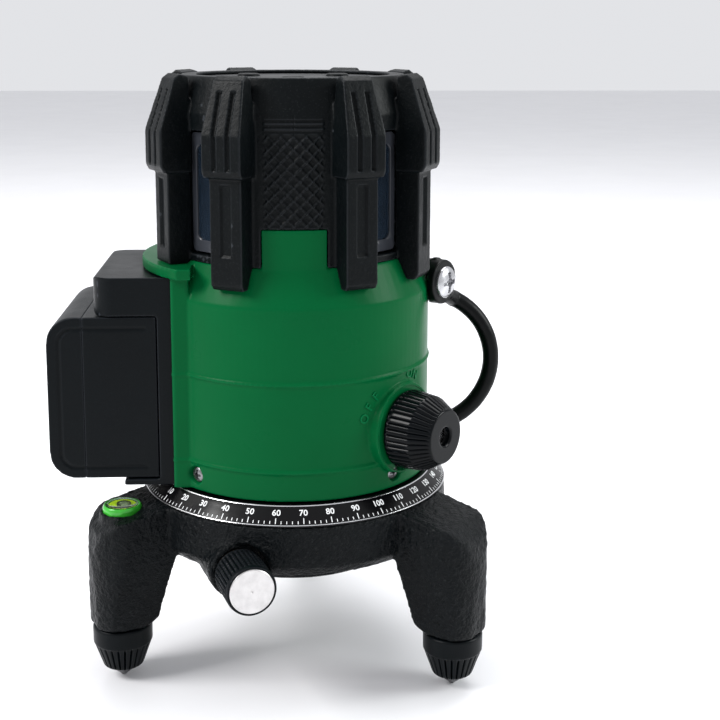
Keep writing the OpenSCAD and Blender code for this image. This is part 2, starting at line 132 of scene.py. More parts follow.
def step(x, a, b):
    """0 below a, 1 above b, smooth between."""
    t = np.clip((x - a) / (b - a), 0, 1)
    return t * t * (3 - 2 * t)


def band(x, a, b, soft):
    """1 between a and b, 0 outside, with edges 2 * soft wide."""
    return step(x, a - soft, a + soft) * (1 - step(x, b - soft, b + soft))


def groove(a, count, width):
    """1 in the middle of each of count grooves round a turned piece, 0 outside them."""
    wave = abs((a * count / (2 * math.pi)) % 1.0 - 0.5) * 2
    return max(0.0, 1 - wave / width)


# ---------- materials ----------
def material(name, colour, rough, metal=0.0, mix_size=8.0, vary=0.25, fine=0.35, fine_depth=0.05,
             coarse=0.0, coarse_depth=0.0, rings=None, wear=0.0, wear_colour=None, glint_speck=0.0,
             **constants):
    """Procedural finish, with sizes and depths in millimetres.

    colour is mottled by the share vary over mix_size, fine and coarse are the grain of the
    surface, rings is (frame, spacing, depth) of turning marks, wear lightens sharp edges,
    speck paints pale grains that are painted highlights on the grain of the surface, and
    constants are sockets of the shader by name.
    """
    m = bpy.data.materials.new(name)
    m.use_nodes = True
    nodes, links = m.node_tree.nodes, m.node_tree.links
    shader = next(n for n in nodes if n.type == "BSDF_PRINCIPLED")
    place = nodes.new("ShaderNodeTexCoord").outputs["Object"]

    def noise(size, detail=3.0, roughness=0.55):
        n = nodes.new("ShaderNodeTexNoise")
        n.inputs["Scale"].default_value = 1000.0 / size
        n.inputs["Detail"].default_value = detail
        n.inputs["Roughness"].default_value = roughness
        links.new(place, n.inputs["Vector"])
        return n.outputs["Fac"]

    def ramp(source, low, high, a=0.0, b=1.0):
        n = nodes.new("ShaderNodeMapRange")
        n.inputs["From Min"].default_value, n.inputs["From Max"].default_value = low, high
        n.inputs["To Min"].default_value, n.inputs["To Max"].default_value = a, b
        links.new(source, n.inputs["Value"])
        return n.outputs["Result"]

    def blend(factor, a, b):
        n = nodes.new("ShaderNodeMix")
        n.data_type = "RGBA"
        links.new(factor, n.inputs["Factor"])
        for value, label in ((a, "A"), (b, "B")):
            socket = [s for s in n.inputs if s.name == label and s.type == "RGBA"][0]
            if isinstance(value, tuple):
                socket.default_value = (*value, 1.0)
            else:
                links.new(value, socket)
        return [s for s in n.outputs if s.type == "RGBA"][0]

    second = tuple(c * (1 - vary) for c in colour)
    tint = blend(ramp(noise(mix_size), 0.3, 0.7), colour, second)
    # painted highlights: pale specks on the grain stand in for glints of light on its bumps
    if glint_speck:
        light = tuple(min(1.0, c * 2.2 + 0.02) for c in colour)
        tint = blend(ramp(noise(fine * 1.3, 2.0), 0.58, 0.72, 0.0, glint_speck), tint, light)
    if wear:
        pointy = nodes.new("ShaderNodeNewGeometry").outputs["Pointiness"]
        edge = ramp(pointy, 0.515, 0.60, 0.0, wear)
        tint = blend(edge, tint, wear_colour or tuple(min(1.0, c * 2 + 0.05) for c in colour))
    links.new(tint, shader.inputs["Base Color"])
    links.new(ramp(noise(mix_size * 0.6, 4.0), 0.25, 0.75, rough * 0.85, min(1.0, rough * 1.18)),
              shader.inputs["Roughness"])
    shader.inputs["Metallic"].default_value = metal
    normal = None
    layers = [(noise(fine, 2.0), fine_depth)]
    if coarse:
        layers.append((noise(coarse, 3.0, 0.6), coarse_depth))
    if rings:
        centre, spacing, depth = rings
        local = nodes.new("ShaderNodeMapping")
        inverse = centre.inverted()
        local.vector_type = "POINT"
        local.inputs["Location"].default_value = inverse.translation
        local.inputs["Rotation"].default_value = inverse.to_euler()
        links.new(place, local.inputs["Vector"])
        wave = nodes.new("ShaderNodeTexWave")
        wave.wave_type, wave.rings_direction, wave.wave_profile = "RINGS", "Z", "SIN"
        wave.inputs["Scale"].default_value = 1000.0 / spacing / 20.0
        wave.inputs["Distortion"].default_value = 0.6
        wave.inputs["Detail Scale"].default_value = 1.5
        links.new(local.outputs["Vector"], wave.inputs["Vector"])
        layers.append((wave.outputs["Fac"], depth))
    for source, depth in layers:
        bump = nodes.new("ShaderNodeBump")
        bump.inputs["Strength"].default_value = 1.0
        bump.inputs["Distance"].default_value = depth / 1000.0
        links.new(source, bump.inputs["Height"])
        if normal:
            links.new(normal, bump.inputs["Normal"])
        normal = bump.outputs["Normal"]
    links.new(normal, shader.inputs["Normal"])
    for key, value in constants.items():
        shader.inputs[key.replace("_", " ")].default_value = value
    return m


def in_metres(m):
    m = m.copy()
    m.translation = Vector(metres(m.translation)[0])
    return m


WORM_LINE = at(Vector((0, 0, WORM_H)) - across(WORM_AZ) * WORM_GAP, out(WORM_AZ), UP)
LOCK_LINE = radial(LOCK_AZ, LOCK_H, UP)
TETHER_LINE = at(TETHER_FACE, out(TETHER_AZ), UP)
VIAL_LINE = at(out(VIAL_AZ) * VIAL_R, UP, out(VIAL_AZ))
DIAL_LINE = at((0, 0, 63), UP, RIGHT)
SPINDLE = Matrix.Identity(4)

# the speck values paint pale grains on cast_black, rubber and black_plastic: painted highlights on
# their grain
M = {
    "cast_black": material("cast_black", (0.0014, 0.0026, 0.0034), 0.34, mix_size=18, vary=0.3,
                           fine=0.8, fine_depth=0.5, coarse=1.8, coarse_depth=0.9, wear=0.1,
                           wear_colour=(0.022, 0.026, 0.03), glint_speck=0.3,
                           Specular_IOR_Level=0.11),
    "green_plastic": material("green_plastic", (0.0003, 0.088, 0.024), 0.30, mix_size=30, vary=0.1,
                              fine=0.4, fine_depth=0.018, coarse=6, coarse_depth=0.03, wear=0.25,
                              wear_colour=(0.003, 0.22, 0.08), Specular_IOR_Level=0.05),
    "rubber": material("rubber", (0.0014, 0.0026, 0.0032), 0.40, mix_size=14, vary=0.25, fine=0.45,
                       fine_depth=0.07, coarse=1.3, coarse_depth=0.06, wear=0.45,
                       wear_colour=(0.05, 0.056, 0.064), glint_speck=0.3,
                       Specular_IOR_Level=0.1),
    "strap_rubber": material("strap_rubber", (0.0014, 0.0022, 0.0022), 0.34, mix_size=10, vary=0.3,
                             fine=0.5, fine_depth=0.02, coarse=2.5, coarse_depth=0.03,
                             Specular_IOR_Level=0.12),
    "black_plastic": material("black_plastic", (0.0018, 0.0032, 0.0042), 0.34, mix_size=20,
                              vary=0.2, fine=0.4, fine_depth=0.035, coarse=4,
                              coarse_depth=0.02, wear=0.4, wear_colour=(0.06, 0.065, 0.078),
                              glint_speck=0.1, Specular_IOR_Level=0.1),
    "gloss_black": material("gloss_black", (0.0012, 0.002, 0.0028), 0.16, mix_size=12, vary=0.3,
                            fine=0.8, fine_depth=0.008, wear=0.25, wear_colour=(0.04, 0.045, 0.05),
                            Specular_IOR_Level=0.11),
    "black_anodised": material("black_anodised", (0.002, 0.002, 0.0025), 0.2, mix_size=16, vary=0.3,
                               fine=0.5, fine_depth=0.006, rings=(in_metres(DIAL_LINE), 0.35, 0.004),
                               Specular_IOR_Level=0.2),
    "dial_white": material("dial_white", (0.82, 0.83, 0.84), 0.5, mix_size=1.2, vary=0.12,
                           fine=0.2, fine_depth=0.01),
    "dial_silver": material("dial_silver", (0.78, 0.78, 0.80), 0.22, 1.0, mix_size=6, vary=0.2,
                            fine=0.4, fine_depth=0.01),
    "steel": material("steel", (0.60, 0.60, 0.62), 0.26, 1.0, mix_size=3, vary=0.25, fine=0.35,
                      fine_depth=0.012),
    "screw_steel": material("screw_steel", (0.30, 0.30, 0.31), 0.30, 1.0, mix_size=2, vary=0.4,
                            fine=0.3, fine_depth=0.02),
    "foot_steel": material("foot_steel", (0.16, 0.16, 0.17), 0.35, 1.0, mix_size=3, vary=0.35,
                           fine=0.35, fine_depth=0.02),
    "brass": material("brass", (0.72, 0.50, 0.20), 0.28, 1.0, mix_size=5, vary=0.2, fine=0.4,
                      fine_depth=0.012),
    "bronze": material("bronze", (0.48, 0.29, 0.14), 0.40, 1.0, mix_size=2, vary=0.3, fine=0.3,
                       fine_depth=0.03),
    "aluminium": material("aluminium", (0.74, 0.74, 0.76), 0.30, 1.0, mix_size=6, vary=0.15,
                          fine=0.4, fine_depth=0.015),
    "cap_aluminium": material("cap_aluminium", (0.66, 0.645, 0.64), 0.33, 1.0, mix_size=2.5,
                              vary=0.16, fine=0.5, fine_depth=0.02,
                              rings=(in_metres(WORM_LINE), 0.5, 0.03)),
    # dark bluish glass: partly its own tint, partly painted shade standing in for the dark inside
    # seen through the panes
    "glass": material("glass", (0.03, 0.05, 0.08), 0.04, mix_size=15, vary=0.3, fine=6,
                      fine_depth=0.002, Transmission_Weight=0.6, IOR=1.5),
    # the emission makes the vial fluid glow: painted light, as the vial is no lamp
    "vial_fluid": material("vial_fluid", (0.66, 0.95, 0.015), 0.18, mix_size=4, vary=0.3, fine=2,
                           fine_depth=0.005, IOR=1.35, Emission_Color=(0.55, 0.85, 0.01, 1.0),
                           Emission_Strength=0.3),
    "acrylic": material("acrylic", (0.95, 0.99, 0.9), 0.04, mix_size=6, vary=0.05, fine=3,
                        fine_depth=0.001, Transmission_Weight=1.0, IOR=1.2),
    "vial_ring": material("vial_ring", (0.04, 0.42, 0.03), 0.12, mix_size=3, vary=0.3, fine=0.3,
                          fine_depth=0.01),
    # dark ring round the bubble: painted shade for the dark rim that refraction gives a bubble's
    # edge
    "bubble_edge_shade": material("bubble_edge_shade", (0.01, 0.05, 0.01), 0.3, mix_size=3, vary=0.2, fine=0.3,
                          fine_depth=0.01),
    "bubble": material("bubble", (0.42, 0.55, 0.36), 0.12, mix_size=1.5, vary=0.25, fine=0.5,
                       fine_depth=0.01),
    "copper": material("copper", (0.70, 0.34, 0.20), 0.30, 1.0, mix_size=5, vary=0.25, fine=0.4,
                       fine_depth=0.012),
    "circuit": material("circuit", (0.01, 0.12, 0.05), 0.35, mix_size=3, vary=0.45, fine=0.5,
                        fine_depth=0.03),
    "grey_plastic": material("grey_plastic", (0.012, 0.014, 0.018), 0.14, mix_size=14, vary=0.2,
                             fine=0.8, fine_depth=0.008, wear=0.4, wear_colour=(0.16, 0.17, 0.2),
                             Specular_IOR_Level=0.3),
    "spring_steel": material("spring_steel", (0.52, 0.52, 0.54), 0.24, 1.0, mix_size=2, vary=0.25,
                             fine=0.3, fine_depth=0.01),
    "fibre": material("fibre", (0.16, 0.09, 0.045), 0.7, mix_size=1.5, vary=0.4, fine=0.4,
                      fine_depth=0.06),
    "magnet": material("magnet", (0.62, 0.61, 0.60), 0.18, 1.0, mix_size=4, vary=0.15, fine=0.8,
                       fine_depth=0.006),
    "cell": material("cell", (0.05, 0.13, 0.48), 0.35, mix_size=9, vary=0.2, fine=1.0,
                     fine_depth=0.03),
    "contact_gold": material("contact_gold", (0.85, 0.60, 0.22), 0.22, 1.0, mix_size=2, vary=0.15,
                             fine=0.3, fine_depth=0.008),
    "lamp": material("lamp", (0.55, 0.02, 0.015), 0.2, mix_size=1.5, vary=0.25, fine=0.5,
                     fine_depth=0.01, Transmission_Weight=0.3),
}


# ---------- making pieces ----------
def finish_piece(ob, body, mat, nodes=()):
    """Give a piece its material, body, slot and the CAD nodes that it replaces."""
    ob.data.materials.clear()
    ob.data.materials.append(M[mat])
    if body:
        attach(ob, body)
    if nodes:
        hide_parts(*nodes)
    return ob


def from_data(name, verts, faces, smooth=True):
    """Object from millimetre vertices with heights from the floor."""
    mesh = bpy.data.meshes.new(name)
    mesh.from_pydata([tuple(v) for v in metres(verts)], [], faces)
    mesh.validate()
    bm = bmesh.new()
    bm.from_mesh(mesh)
    bmesh.ops.remove_doubles(bm, verts=bm.verts, dist=1e-6)
    bmesh.ops.recalc_face_normals(bm, faces=bm.faces)
    bm.to_mesh(mesh)
    bm.free()
    ob = bpy.data.objects.new(name, mesh)
    bpy.context.scene.collection.objects.link(ob)
    mesh.shade_smooth() if smooth else mesh.shade_flat()
    if smooth:
        mesh.set_sharp_from_angle(angle=math.radians(42))
    return ob


def skin(name, node, voxel, smooth, body, mat, shape=None):
    """Rounded copy of a CAD node: an even mesh of voxel-sized faces, relaxed, then shaped.

    shape(co, normals) gets the positions and returns new ones.
    """
    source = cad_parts[node]
    mesh = source.data.copy()
    mesh.transform(Matrix.Scale(1000.0, 4))
    bm = bmesh.new()
    bm.from_mesh(mesh)
    bmesh.ops.remove_doubles(bm, verts=bm.verts, dist=1e-3)
    bm.to_mesh(mesh)
    bm.free()
    work = bpy.data.objects.new("work", mesh)
    bpy.context.scene.collection.objects.link(work)
    remesh = work.modifiers.new("remesh", "REMESH")
    remesh.mode = "VOXEL"
    remesh.voxel_size = voxel
    relax = work.modifiers.new("relax", "SMOOTH")
    relax.factor, relax.iterations = 0.5, smooth
    graph = bpy.context.evaluated_depsgraph_get()
    result = bpy.data.meshes.new_from_object(work.evaluated_get(graph), depsgraph=graph)
    bpy.data.objects.remove(work)
    bpy.data.meshes.remove(mesh)
    result.name = name
    co = np.empty(len(result.vertices) * 3)
    result.vertices.foreach_get("co", co)
    co = co.reshape(-1, 3)
    co[:, 2] += STAND
    if shape:
        normals = np.empty(len(result.vertices) * 3)
        result.vertices.foreach_get("normal", normals)
        co = shape(co, normals.reshape(-1, 3))
    result.vertices.foreach_set("co", metres(co).ravel())
    result.update()
    result.shade_smooth()
    ob = bpy.data.objects.new(name, result)
    bpy.context.scene.collection.objects.link(ob)
    return finish_piece(ob, body, mat, (node,))


def rounded(points, radius, closed=False, n=4):
    """Polyline with its corners cut into short arcs."""
    pts = [Vector(p).to_2d() for p in points]
    count = len(pts)
    result = []
    for i, p in enumerate(pts):
        if not closed and i in (0, count - 1):
            result.append(p)
            continue
        a, b = pts[i - 1] - p, pts[(i + 1) % count] - p
        ra, rb = min(radius, a.length * 0.45), min(radius, b.length * 0.45)
        start, end = p + a.normalized() * ra, p + b.normalized() * rb
        for k in range(n + 1):
            t = k / n
            result.append(start * (1 - t) ** 2 + p * 2 * t * (1 - t) + end * t * t)
    return result


def divided(points, length, closed=False):
    """Polyline with no step longer than length."""
    result = []
    pairs = list(zip(points, points[1:] + (points[:1] if closed else [])))
    for a, b in pairs:
        n = max(1, math.ceil((b - a).length / length))
        result += [a.lerp(b, k / n) for k in range(n)]
    return result if closed else result + [points[-1]]


def quarter(r, low, high, n):
    """Quarter ellipse from (r, low) to (0, low + high), in n steps."""
    turns = [math.pi / 2 * k / n for k in range(n + 1)]
    return [Vector((r * math.cos(t), low + high * math.sin(t))) for t in turns]


def lathe(line, profile, around=96, reach=None, closed=False):
    """Turned form on the Z axis of line. reach(angle, r, z) gives a changed radius."""
    verts, faces = [], []
    rows = len(profile)
    for p in profile:
        for k in range(around):
            a = 2 * math.pi * k / around
            r = p[0] if reach is None or p[0] < 1e-6 else reach(a, p[0], p[1])
            verts.append(line @ Vector((r * math.cos(a), r * math.sin(a), p[1])))
    for i in range(rows if closed else rows - 1):
        j = (i + 1) % rows
        for k in range(around):
            n = (k + 1) % around
            faces.append((i * around + k, i * around + n, j * around + n, j * around + k))
    return verts, faces


def turned(name, line, points, body, mat, nodes=(), radius=0.4, around=96,
           length=0.6, reach=None, closed=False):
    """Finished turned piece from (radius, height) points, with its corners rounded."""
    profile = divided(rounded(points, radius, closed), length, closed)
    ob = from_data(name, *lathe(line, profile, around, reach, closed))
    return finish_piece(ob, body, mat, nodes)


def joined(name, parts):
    """One object from several (verts, faces)."""
    verts, faces = [], []
    for v, f in parts:
        start = len(verts)
        verts += [tuple(p) for p in v]
        faces += [tuple(i + start for i in face) for face in f]
    return from_data(name, verts, faces)


def text_mesh(body_text, size, depth, bolder=0.0):
    """Vertices and faces of a short text, centred, x across and y up, in millimetres."""
    curve = bpy.data.curves.new("text", "FONT")
    curve.body = body_text
    curve.size = size
    curve.extrude = depth / 2
    curve.offset = bolder
    curve.align_x, curve.align_y = "CENTER", "CENTER"
    curve.resolution_u = 3
    ob = bpy.data.objects.new("text", curve)
    bpy.context.scene.collection.objects.link(ob)
    bpy.context.view_layer.update()
    graph = bpy.context.evaluated_depsgraph_get()
    mesh = bpy.data.meshes.new_from_object(ob.evaluated_get(graph), depsgraph=graph)
    verts = [tuple(v.co) for v in mesh.vertices]
    faces = [tuple(p.vertices) for p in mesh.polygons]
    bpy.data.objects.remove(ob)
    bpy.data.curves.remove(curve)
    bpy.data.meshes.remove(mesh)
    return verts, faces


def pan_screw(line, head_r, head_h, shank_r, shank, recess):
    """Cross-recess pan head on the plane z = 0 of line, with its shank below."""
    arc = [(head_r * math.sin(t), head_h * (0.25 + 0.75 * math.cos(t)))
           for t in [math.pi / 2 * k / 9 for k in range(10)]]
    rings = []
    for k in range(26):
        r = head_r * 0.66 * k / 25
        rings.append((r, head_h * (0.25 + 0.75 * math.sqrt(max(0.0, 1 - (r / head_r) ** 2)))))
    rings += [p for p in arc if p[0] > head_r * 0.68]
    tip = 0.4
    rings += [(head_r, 0.0), (shank_r, 0.0), (shank_r, tip - shank), (shank_r - tip, -shank),
              (0, -shank)]
    around = 96
    verts, faces = [], []
    for r, z in rings:
        for k in range(around):
            a = 2 * math.pi * k / around
            x, y = r * math.cos(a), r * math.sin(a)
            low = z
            if z > 0 and r < head_r * 0.67:
                arm = min(abs(x), abs(y))
                end = max(abs(x), abs(y))
                inside = min((recess * 0.21 - arm) / 0.12, (recess - end) / 0.12)
                core = (recess * 0.45 - math.hypot(x, y)) / 0.15
                dent = min(1.0, max(0.0, inside, core))
                low = z - dent * (head_h * 0.75)
            verts.append(line @ Vector((x, y, low)))
    for i in range(len(rings) - 1):
        for k in range(around):
            n = (k + 1) % around
            faces.append((i * around + k, i * around + n,
                          (i + 1) * around + n, (i + 1) * around + k))
    return verts, faces


# ---------- camera, floor, light ----------
def camera():
    focal_px, x, distance, height = 1339.46, -0.872, 467.4, 224.7
    pitch, yaw, roll, shift_px = 0.17, 0.0517, 0.0021, -108.0
    data = bpy.data.cameras.new("camera")
    data.sensor_width = 36.0
    data.lens = focal_px / FRAME_PX * data.sensor_width
    data.shift_y = shift_px / FRAME_PX
    ob = bpy.data.objects.new("camera", data)
    forward = Vector((math.sin(yaw) * math.cos(pitch), math.cos(yaw) * math.cos(pitch),
                      -math.sin(pitch)))
    level = Vector((math.cos(yaw), -math.sin(yaw), 0.0))
    right = level * math.cos(roll) + level.cross(forward) * math.sin(roll)
    m = Matrix((right, right.cross(forward), -forward)).transposed().to_4x4()
    m.translation = Vector(metres((x, -distance, height))[0])
    ob.matrix_world = m
    bpy.context.scene.collection.objects.link(ob)
    bpy.context.scene.camera = ob


def area_light(name, position, aim, size, power, colour=(1, 1, 1)):
    data = bpy.data.lights.new(name, "AREA")
    data.shape = "RECTANGLE"
    data.size, data.size_y = size
    data.energy = power
    data.color = colour
    ob = bpy.data.objects.new(name, data)
    ob.location = position
    ob.rotation_euler = (Vector(aim) - Vector(position)).to_track_quat("-Z", "Y").to_euler()
    bpy.context.scene.collection.objects.link(ob)


def stage():
    world = bpy.data.worlds.new("world")
    world.use_nodes = True
    background = next(n for n in world.node_tree.nodes if n.type == "BACKGROUND")
    background.inputs["Color"].default_value = (0.90, 0.91, 0.94, 1)
    background.inputs["Strength"].default_value = 0.85
    bpy.context.scene.world = world
    bpy.context.scene.view_settings.view_transform = "Standard"
    verts = [(-4000, -4000, 0), (4000, -4000, 0), (4000, 4000, 0), (-4000, 4000, 0)]
    floor = from_data("floor", verts, [(0, 1, 2, 3)])
    floor.data.materials.append(material("floor_paint", (0.80, 0.80, 0.82), 0.45, mix_size=90,
                                         vary=0.03, fine=1.5, fine_depth=0.01))
    area_light("key", (-1.1, -0.35, 1.0), (0, 0, 0.08), (0.6, 0.6), 22, (1.0, 0.99, 0.98))
    area_light("fill", (1.2, -0.1, 0.6), (0, 0, 0.08), (0.5, 0.5), 10, (0.96, 1.0, 0.98))
    area_light("top", (0.1, 0.5, 1.3), (0, 0, 0.0), (1.2, 0.8), 16)


# ---------- base ----------
def base():
    def cast(co, normals):
        rough = grain(co, 1.5, 3) * 0.17 + grain(co, 0.8, 4) * 0.09 + grain(co, 6, 5) * 0.1
        inner = np.hypot(co[:, 0], co[:, 1]) < 49
        rough = np.where(inner & (co[:, 2] < 62), 0.0, rough)    # machined inside
        return co + normals * rough[:, None]

    skin("base_casting", "tripod_base", 0.62, 9, "base", "cast_black", cast)

    # dial: slanted ring with ticks and numerals standing a little proud of it
    (r0, h0), (r1, h1) = DIAL_LOW, DIAL_HIGH
    slope = Vector((r1 - r0, h1 - h0))
    length = slope.length
    slope.normalize()
    normal = Vector((slope.y, -slope.x))
    ring = [(44, 60), (48, 60), (48, 63), (54, 63), (r0, h0), (r1, h1), (44, 68.7)]
    turned("dial_ring_body", SPINDLE, ring, "base", "black_anodised",
           ("dial_ring",), radius=0.2, around=240, closed=True, length=2.0)

    def on_cone(az, u, v, w):
        """Point u along the ring, v up its slope and w proud of it."""
        r = r0 + slope.x * v + normal.x * w
        h = h0 + slope.y * v + normal.y * w
        a = math.radians(az) + u / (r0 + slope.x * v)
        return (r * math.sin(a), -r * math.cos(a), h)

    parts = []
    for n in range(0, 360, 2):
        az = n + DIAL_ZERO
        high = 2.75 if n % 10 == 0 else 1.75
        half = 0.14 if n % 10 == 0 else 0.12
        box = [on_cone(az, u, v, w) for w in (-0.1, 0.06) for v in (0.75, high)
               for u in (-half, half)]
        faces = [(4, 5, 7, 6), (0, 1, 5, 4), (2, 3, 7, 6), (0, 2, 6, 4), (1, 3, 7, 5), (0, 1, 3, 2)]
        parts.append((box, faces))
        if n % 10 == 0:
            v, f = text_mesh(str(n), 2.9, 0.16, 0.045)
            parts.append(([on_cone(az, x, 4.6 + y, z) for x, y, z in v], f))
    marks = joined("dial_marks", parts)
    finish_piece(marks, "base", "dial_white")

    for name, low, high in (("dial_line_low", 0.04, 0.34), ("dial_line_high", 6.95, 7.3)):
        outline = []
        for v, w in ((low, -0.1), (low, 0.05), (high, 0.05), (high, -0.1)):
            outline.append((r0 + slope.x * v + normal.x * w, h0 + slope.y * v + normal.y * w))
        turned(name, SPINDLE, outline, "base", "dial_silver",
               radius=0.02, around=240, closed=True, length=2.0)

    # vial: cup wall, fluid with its bubble, lens
    wall = [(0, 54.1), (6.6, 54.1), (6.65, 61.3), (6.2, 62.15), (5.75, 62.15), (5.42, 61.5),
            (5.42, 55.5), (0, 55.5)]
    turned("vial_cup_wall", VIAL_LINE, wall, "base", "vial_ring", ("vial_cup",),
           radius=0.35, around=96)
    turned("vial_fluid_body", VIAL_LINE, [(0, 55.55), (5.38, 55.55), (5.38, 61.0), (0, 61.0)],
           "base", "vial_fluid", ("vial_liquid",), radius=0.15, around=64)
    dome = [(0, 61.24), (5.38, 61.24), (5.38, 62.2)] + quarter(5.1, 62.2, 0.68, 8)
    turned("vial_lens_dome", VIAL_LINE, dome, "base", "acrylic", ("vial_lens",),
           radius=0.1, around=96)
    middle = at(out(VIAL_AZ) * VIAL_R + Vector((0.4, 0.9, 0)), UP, RIGHT)
    low, high = 61.02, 61.12
    # the second ring is painted shade round the bubble's edge; the first is the printed target ring
    for name, line, near, far, mat in (("vial_target", VIAL_LINE, 4.55, 5.38, "vial_ring"),
                                       ("vial_bubble_edge", middle, 1.75, 2.4, "bubble_edge_shade")):
        turned(name, line, [(near, low), (far, low), (far, high), (near, high)], "base", mat,
               radius=0.01, around=64, closed=True)
    bubble = [(0, 61.02), (1.72, 61.02), (1.6, 61.1), (0.9, 61.16), (0, 61.18)]
    turned("vial_bubble", middle, bubble, "base", "bubble", radius=0.05, around=48)


def feet():
    for side, az in LEG_AZ.items():
        place = at(out(az) * FOOT_R, UP, out(az))
        points = [(2.6, 4.25), (6.3, 4.25), (6.9, 4.7), (9.85, 12.9), (10.15, 13.4), (10.2, 18.9),
                  (9.7, 19.55), (3.95, 19.55), (3.95, 43.9), (2.6, 43.9)]

        def ribs(a, r, z):
            top = 13.2
            if r < 6.5 or z > top:
                return r
            return r - 0.9 * groove(a, 26, 0.42) * min(1.0, top - z)

        turned("foot_knob_" + side + "_body", place, points, "foot_knob_" + side, "black_plastic",
               ("foot_knob_" + side,), radius=0.5, around=312, reach=ribs,
               closed=True, length=0.9)
        pin = [(0, 0.02), (0.6, 0.02), (4.15, 3.15), (4.15, 4.08), (2.5, 4.1), (2.5, 33.6),
               (2.1, 33.98), (0, 33.98)]
        turned("foot_pin_" + side + "_body", place, pin, "foot_pin_" + side, "foot_steel",
               ("foot_pin_" + side,), radius=0.25, around=48, length=1.5)


def fine_knob():
    points = [(3.1, 43.05), (7.4, 43.05), (8.3, 44.1), (8.38, 58.6), (8.1, 59.7), (7.55, 59.75),
              (7.45, 58.6), (3.1, 58.4)]

    def knurl(a, r, z):
        low, high, pitch = 44.6, 58.3, 1.712
        if r < 7.9 or z < low or z > high:
            return r
        row = abs(((z - low) / pitch) % 1.0 - 0.5) * 2
        return r - 0.55 * max(groove(a, 34, 0.6), 0.75 * max(0.0, (row - 0.6) / 0.4))

    turned("fine_knob_grip", WORM_LINE, points, "fine_drive", "black_plastic",
           ("fine_knob",), radius=0.35, around=272, reach=knurl, closed=True, length=0.3)
    cap = [(0, 58.65), (7.4, 58.65), (7.4, 59.78), (7.15, 59.98)]
    cap += [(7.0 - k * 0.25, 59.98 + (0.015 if k % 2 else 0.0)) for k in range(1, 27)]
    cap += [(0.42, 59.98), (0, 59.6)]
    turned("fine_knob_disc", WORM_LINE, cap, "fine_drive", "cap_aluminium",
           ("fine_knob_cap",), radius=0.08, around=96)


# ---------- head ----------
def housing():
    def green(co, normals):
        r = np.hypot(co[:, 0], co[:, 1])
        unit = co[:, :2] / np.maximum(r, 1e-6)[:, None]
        outward = (normals[:, :2] * unit).sum(1)
        h = co[:, 2]
        push = np.zeros(len(co))
        side = (r > 46.8) & (outward > 0.4)
        for low in (78.6, 108.2):
            push += np.where(side, band(h, low, low + 1.0, 0.15) * 0.16, 0)
        push += grain(co, 9, 11) * 0.02
        return co + normals * push[:, None]

    skin("green_housing", "main_housing", 0.5, 3, "head", "green_plastic", green)

    # embossed marks on the wall, on a circle round the lock knob
    circle, letter_step = 18.4, 13.0
    parts = []
    for word, start in (("OFF", 160.0), ("ON", 78.0)):
        for k, letter in enumerate(word):
            a = math.radians(start - k * letter_step)
            turn = a - math.pi / 2
            v, f = text_mesh(letter, 4.3, 0.7, 0.04)
            moved = []
            for x, y, z in v:
                side = -(circle * math.cos(a) + x * math.cos(turn) - y * math.sin(turn))
                high = circle * math.sin(a) + x * math.sin(turn) + y * math.cos(turn)
                angle = math.radians(LOCK_AZ) - side / BODY_R
                r = BODY_R + z
                moved.append((r * math.sin(angle), -r * math.cos(angle), LOCK_H + high))
            parts.append((moved, f))
    marks = joined("lock_marks", parts)
    finish_piece(marks, "head", "green_plastic")
    turned("lock_seat_ring", radial(LOCK_AZ, LOCK_H), [(14.5, 48.8), (15.2, 48.8), (15.2, 49.15),
                                                       (14.5, 49.15)],
           "head", "green_plastic", radius=0.15, around=128, closed=True)

    # screws: four in the wall, four in the hub underneath, four that hold the battery mount
    head = dict(head_r=2.8, head_h=1.5, shank_r=1.5, recess=1.7)
    parts = []
    for az in WINDOW_AZ:
        line = radial(az, 74.3) @ Matrix.Translation((0, 0, 45.6))
        parts.append(pan_screw(line, shank=7.5, **head))
        line = at(out(az) * 26 + Vector((0, 0, 72)), UP, out(az))
        parts.append(pan_screw(line, shank=5.4, **head))
    for y in (-20, 20):
        for h in (80, 118):
            parts.append(pan_screw(at((-35.5, y, h), RIGHT, (0, 1, 0)), shank=7.5, **head))
    screws = joined("housing_screws", parts)
    finish_piece(screws, "head", "screw_steel", ("head_screws",))


